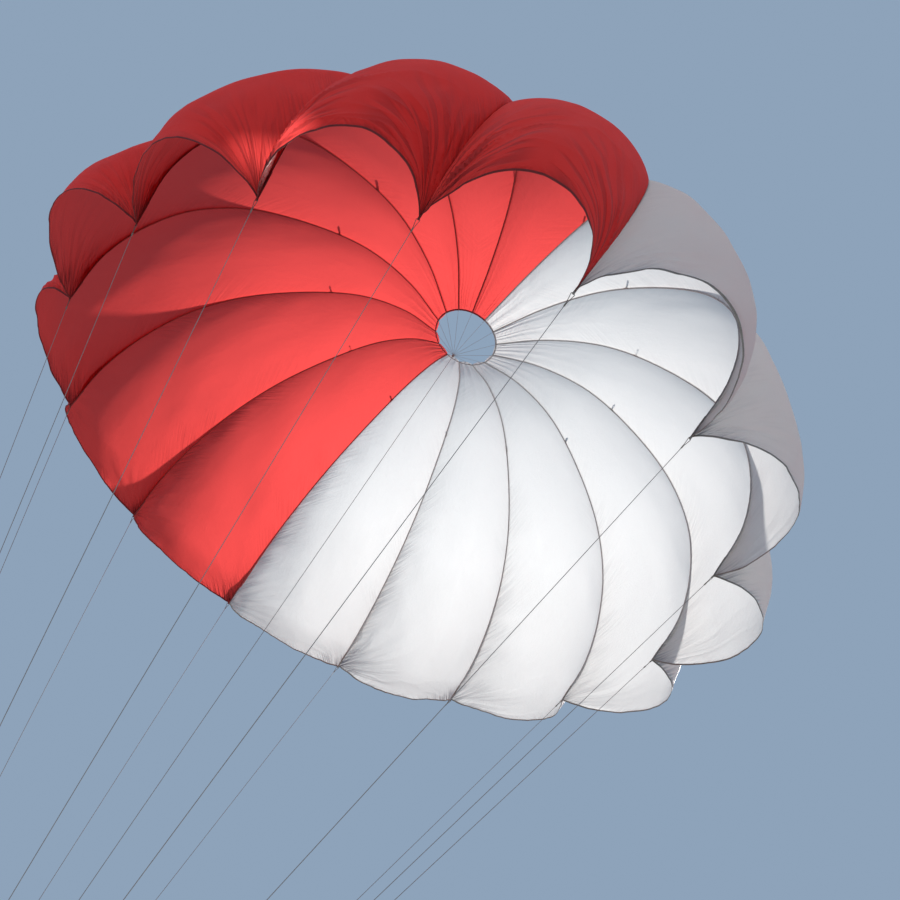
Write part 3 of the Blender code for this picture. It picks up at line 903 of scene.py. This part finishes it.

# %% [markdown]
# ## The vent
# The vent's edge is gathered into a folded tape. Fourteen thin lines cross from it to a knot a hand
# below, and one line runs down from the knot to the riser and holds the top of the canopy down,
# which is what opens it wide. The lines are one piece, and the knot round them is another.

# %% Vent binding
VENT_STEPS = 336
VENT_THICK = 0.0032
rim_radius, rim_height = SEAM_COURSE[0]
rim_slope = unit(COURSE[1] - COURSE[0])
turn = np.arange(VENT_STEPS) * 2 * np.pi / VENT_STEPS
outward = np.stack([np.cos(turn), np.sin(turn), 0 * turn], -1)
gather = 0.0009 * np.sin(41 * turn) + 0.0007 * np.sin(67 * turn + 1.0) + 0.0005 * np.sin(23 * turn + 2.0)
face = UP * rim_slope[0] - outward * rim_slope[1]
path = outward * rim_radius + UP * (MOUTH_HEIGHT + rim_height) + face * gather[:, None]
slope_out = outward * rim_slope[0] + UP * rim_slope[1]
first = VENT_STEPS * 3 // 4  # where the first seam meets the rim
for colour, start in (("white", first), ("red", first + VENT_STEPS // 2)):
    half = (start + np.arange(VENT_STEPS // 2 + 1)) % VENT_STEPS
    strip = sweep_arrays(path[half], slope_out[half], flat_section(HEM_WIDTH, VENT_THICK))
    settle(add_swept(f"vent_band_{colour}", [strip], VENT_TAPES[colour]), "vent_tape", "vent_binding")

# %% Vent lines and centre line
KNOT_DROP = 0.225
RISER_TOP = 0.34
LINE_TUCK = 0.004  # how far each line runs into what holds it
LINE_SIDES = 8
knot_place = UP * (MOUTH_HEIGHT + rim_height - KNOT_DROP)
parts = []
for seam in range(GORES):
    angle = np.radians(FIRST_SEAM_DEG + seam * 360 / GORES)
    out = np.array((np.cos(angle), np.sin(angle), 0.0))
    lap = out * rim_slope[0] + UP * rim_slope[1]
    rim = out * rim_radius + UP * (MOUTH_HEIGHT + rim_height)
    under = -(UP * rim_slope[0] - out * rim_slope[1]) * (VENT_THICK / 2 + VENT_LINE / 2)
    sewn = [rim + under + lap * step for step in (0.006, 0.003, -0.001, -0.0045)]
    fall = rim + under - lap * 0.008 - UP * 0.003
    towards = knot_place + out * 0.0035 + UP * 0.009
    drop = [fall + (towards - fall) * step for step in (0.0, 0.25, 0.5, 0.75, 1.0)]
    path = round_table(sewn + drop, 40)
    parts.append(sweep_arrays(path, np.cross(UP, out), round_section(VENT_LINE, LINE_SIDES)))
centre_run = np.linspace(float(knot_place[2]), RISER_TOP - LINE_TUCK, 260)
path = np.stack([0 * centre_run, 0 * centre_run, centre_run], -1)
parts.append(sweep_arrays(path, (1.0, 0.0, 0.0), round_section(LINE_DIAMETER, LINE_SIDES)))
rigging = add_swept("crown_lines", parts, CORD)
settle(rigging, "line", "vent_lines", "centre_line")
print("vent lines:", GORES, "; centre line", round(float(centre_run[0] - centre_run[-1]), 2), "m")

# %% [markdown]
# The knot is wound by hand: a few turns of the same cord round the bundle. Each turn is a torus,
# tipped a little out of level so that it reads as cord and not as a stack of rings.


# %% The crown knot
def map_in_metres(piece, around, along):
    """Renames a primitive's own map and stretches it from shares to metres."""
    layer = piece.data.uv_layers[0]
    layer.name = "tape"
    spots = np.empty(len(layer.uv) * 2, np.float32)
    layer.uv.foreach_get("vector", spots)
    layer.uv.foreach_set("vector", (spots.reshape(-1, 2) * (around, along)).astype(np.float32).ravel())


def join_all(pieces, name):
    """Joins pieces into one whose object sits at the origin."""
    bpy.ops.object.select_all(action="DESELECT")
    for piece in pieces:
        piece.select_set(True)
    bpy.context.view_layer.objects.active = pieces[0]
    if len(pieces) > 1:
        bpy.ops.object.join()
    bpy.ops.object.transform_apply(location=True, rotation=True, scale=True)
    joined = bpy.context.object
    joined.name = joined.data.name = name
    return joined


KNOT_RADIUS = 0.0065
KNOT_LENGTH = 0.021
KNOT_TURNS = (
    # (height in the knot, tip in degrees) of each turn
    (0.0075, 12),
    (0.0040, -9),
    (0.0005, 10),
    (-0.0030, -12),
    (-0.0062, 8),
)
turns = []
for i, (lift, tip) in enumerate(KNOT_TURNS):
    bpy.ops.object.select_all(action="DESELECT")
    bpy.ops.mesh.primitive_torus_add(
        major_radius=KNOT_RADIUS,
        minor_radius=LINE_DIAMETER * 0.55,
        major_segments=40,
        minor_segments=10,
        location=knot_place + UP * lift,
        rotation=(np.radians(tip), np.radians(tip * 0.6), i * 0.9),
    )
    turn_of_cord = bpy.context.object
    map_in_metres(turn_of_cord, 2 * np.pi * KNOT_RADIUS, np.pi * LINE_DIAMETER)
    bpy.ops.object.shade_smooth()
    turn_of_cord.data.materials.append(CORD)
    turns.append(turn_of_cord)
bpy.ops.object.select_all(action="DESELECT")
bpy.ops.mesh.primitive_cylinder_add(
    vertices=24, radius=KNOT_RADIUS * 0.9, depth=KNOT_LENGTH, location=knot_place
)
core = bpy.context.object
bpy.ops.object.mode_set(mode="EDIT")
bpy.ops.mesh.select_all(action="SELECT")
bpy.ops.mesh.bevel(offset=0.0028, segments=3)
bpy.ops.object.mode_set(mode="OBJECT")
bpy.ops.object.shade_smooth()
map_in_metres(core, 0.04, 0.02)
core.data.materials.append(CORD)
knot = settle(join_all([core] + turns, "crown_knot"), "line")
print(knot.name, len(knot.data.polygons), "faces")

# %% [markdown]
# ## Hem points, loops and suspension lines
# At each hem point a strong tape runs down one face of the seam, round a short loop of cord and back
# up the other face. The loop is closed with whipping thread, and the suspension line runs from it,
# pulled straight, to the riser's head. Both ends of every line are held by the object.

# %% Hem point tapes
TIP_RUN = 0.16
TIP_WIDTH = TAPE_WIDTH * 1.25
TIP_EYE = 0.0034
TIP_DROP = 0.011
TIP_GAP = 0.0009  # between the seam tape's face and the middle of the hem point tape
LINE_RING = 0.011
tips = []
for seam in range(GORES):
    colour = GORE_TABLE[seam][0]
    tip = seam_point(seam, 1.0)
    angle = np.arctan2(tip[1], tip[0])
    foot = np.array((LINE_RING * np.cos(angle), LINE_RING * np.sin(angle), RISER_TOP - LINE_TUCK))
    pull = unit(foot - tip)
    steps = np.linspace(TIP_RUN, 0.002, 40)
    centre, across, through = seam_frame(seam, 1 - steps / SEAM_LENGTH)
    side = unit(across[-1] - pull * across[-1].dot(pull))
    face = np.cross(pull, side)
    bend = np.linspace(0, np.pi, 14)[1:-1]
    eye_place = tip + pull * TIP_DROP
    legs = TAPE_THICK / 2 + TIP_GAP
    round_end = [eye_place + TIP_EYE * (np.cos(b) * face + np.sin(b) * pull) for b in bend]
    down = [p + t * legs for p, t in zip(centre, through)]
    back = [p - t * legs for p, t in zip(centre[::-1], through[::-1])]
    path = np.array(down + round_end + back)
    wides = np.concatenate([across, np.repeat(side[None], len(bend), 0), across[::-1]])
    strip = sweep_arrays(path, wides, flat_section(TIP_WIDTH, THIN_TAPE))
    piece = add_swept(f"tip_tape_{seam + 1:02d}", [strip], HEMS[colour])
    settle(piece, f"{colour}_hem_tape")
    tips.append((eye_place, foot, pull, side, face))
print("hem point tapes:", len(tips))

# %% Line loops with their whipping
LOOP_SHAPE = (
    # (half width, run along the line) of the doubled cord, from the middle of its bight
    (0.0000, 0.0000),
    (0.0060, 0.0002),
    (0.0085, 0.0030),
    (0.0078, 0.0100),
    (0.0052, 0.0260),
    (0.0028, 0.0430),
    (0.0017, 0.0580),
    (0.0016, 0.0660),
)
WHIP_START, WHIP_LENGTH, WHIP_PITCH = 0.050, 0.022, 0.0012
UNIT_DIAMETER = 2.0  # a section of radius one, grown to each radius along the path
half_loop = round_table(LOOP_SHAPE, 36)
loop_flat = np.concatenate([half_loop[::-1] * (-1, 1), half_loop[1:]])
whip_share = np.linspace(0, 1, 91)
whip_radius = 0.0034 - 0.0012 * (2 * whip_share - 1) ** 4
whip_radius = whip_radius + 0.00022 * np.cos(2 * np.pi * whip_share * WHIP_LENGTH / WHIP_PITCH)
for seam, (eye_place, foot, pull, side, face) in enumerate(tips):
    path = eye_place + loop_flat[:, :1] * side + loop_flat[:, 1:] * pull
    faced = np.repeat(face[None], len(path), 0)
    loop = sweep_arrays(path, faced, round_section(LINE_DIAMETER, LINE_SIDES))
    settle(add_swept(f"line_loop_{seam + 1:02d}", [loop], SHADED_LOOP_CORD), "line")
    path = eye_place + pull * (WHIP_START + whip_share * WHIP_LENGTH)[:, None]
    whip = sweep_arrays(path, side, round_section(UNIT_DIAMETER, 12), grow=whip_radius)
    settle(add_swept(f"whipping_{seam + 1:02d}", [whip], THREAD), "line")
print("line loops:", len(tips), "with", round(WHIP_LENGTH / WHIP_PITCH), "turns of thread each")

# %% Suspension lines
LINE_STEPS = 60
for seam, (eye_place, foot, pull, side, face) in enumerate(tips):
    start = eye_place + pull * (WHIP_START + LINE_TUCK)
    path = start + (foot - start) * np.linspace(0, 1, LINE_STEPS)[:, None]
    line = sweep_arrays(path, side, round_section(LINE_DIAMETER, LINE_SIDES))
    piece = add_swept(f"line_{seam + 1:02d}", [line], CORD)
    settle(piece, "line", f"suspension_line_{seam + 1:02d}")
    long = float(np.linalg.norm(foot - start))
    print(piece.name, round(long, 3), "m")

# %% [markdown]
# ## The riser
# The lines end in a riser, a strip of heavy webbing doubled into an eye at its foot, where a harness
# connector pulls. Its two ends and the fourteen lines are sewn and whipped together in a round head.

# %% Riser webbing
RISER_LOOP = (
    # (out from the axis, height) of the webbing's middle, from the eye's seat upwards
    (0.0100, -0.0015),
    (0.0150, 0.0005),
    (0.0175, 0.0060),
    (0.0190, 0.0200),
    (0.0180, 0.0400),
    (0.0120, 0.0620),
    (0.0050, 0.0780),
    (0.0017, 0.0950),
)
HEAD_LENGTH, HEAD_RADIUS = 0.050, 0.015
WEB_THICK = 0.003
seat = [(x, RISER_LOOP[0][1]) for x in np.linspace(0, RISER_LOOP[0][0], 6)[:-1]]
bend = [tuple(row) for row in round_table(RISER_LOOP, 60)]
doubled_at, doubled_from = RISER_LOOP[-1]
strap = [(doubled_at, z) for z in np.linspace(doubled_from, RISER_TOP - HEAD_LENGTH / 2, 30)[1:]]
half = np.array(seat + bend + strap)
whole = np.concatenate([half[::-1] * (-1, 1), half[1:]])
path = np.stack([whole[:, 0], 0 * whole[:, 0], whole[:, 1]], -1)
web = sweep_arrays(path, (0.0, 1.0, 0.0), flat_section(WEB_WIDTH, WEB_THICK))
webbing = add_swept("riser_webbing", [web], WEBBING)
settle(webbing, "webbing", "riser")

# %% Riser head
bpy.ops.object.select_all(action="DESELECT")
bpy.ops.mesh.primitive_cylinder_add(
    vertices=40,
    radius=HEAD_RADIUS - 0.001,
    depth=HEAD_LENGTH - 0.006,
    location=(0, 0, RISER_TOP - HEAD_LENGTH / 2),
)
head = bpy.context.object
bpy.ops.object.mode_set(mode="EDIT")
bpy.ops.mesh.select_all(action="DESELECT")
bpy.ops.mesh.select_mode(type="FACE")
bpy.ops.object.mode_set(mode="OBJECT")
for polygon in head.data.polygons:
    polygon.select = abs(polygon.normal.z) > 0.9
bpy.ops.object.mode_set(mode="EDIT")
bpy.ops.mesh.inset(thickness=0.0022, depth=0.0025)
bpy.ops.object.mode_set(mode="OBJECT")
bpy.ops.object.shade_smooth_by_angle(angle=np.radians(40))
map_in_metres(head, 2 * np.pi * HEAD_RADIUS, HEAD_LENGTH)
head.data.materials.append(WEBBING)
settle(join_all([head], "riser_head"), "webbing")
WRAP_MIDDLES, WRAP_LENGTH, WRAP_TURNS = (0.302, 0.322), 0.012, 9
wrap_share = np.linspace(0, 1, 145)
for i, middle in enumerate(WRAP_MIDDLES):
    path = UP * (middle + WRAP_LENGTH * (wrap_share - 0.5))[:, None]
    radius = HEAD_RADIUS - 0.0006 + 0.0005 * np.cos(2 * np.pi * wrap_share * WRAP_TURNS)
    radius = radius - 0.0012 * (2 * wrap_share - 1) ** 8
    wrap = sweep_arrays(path, (1.0, 0.0, 0.0), round_section(UNIT_DIAMETER, 40), grow=radius)
    settle(add_swept(f"head_whipping_{i + 1}", [wrap], THREAD), "webbing")
print("riser: eye to head", RISER_TOP, "m")
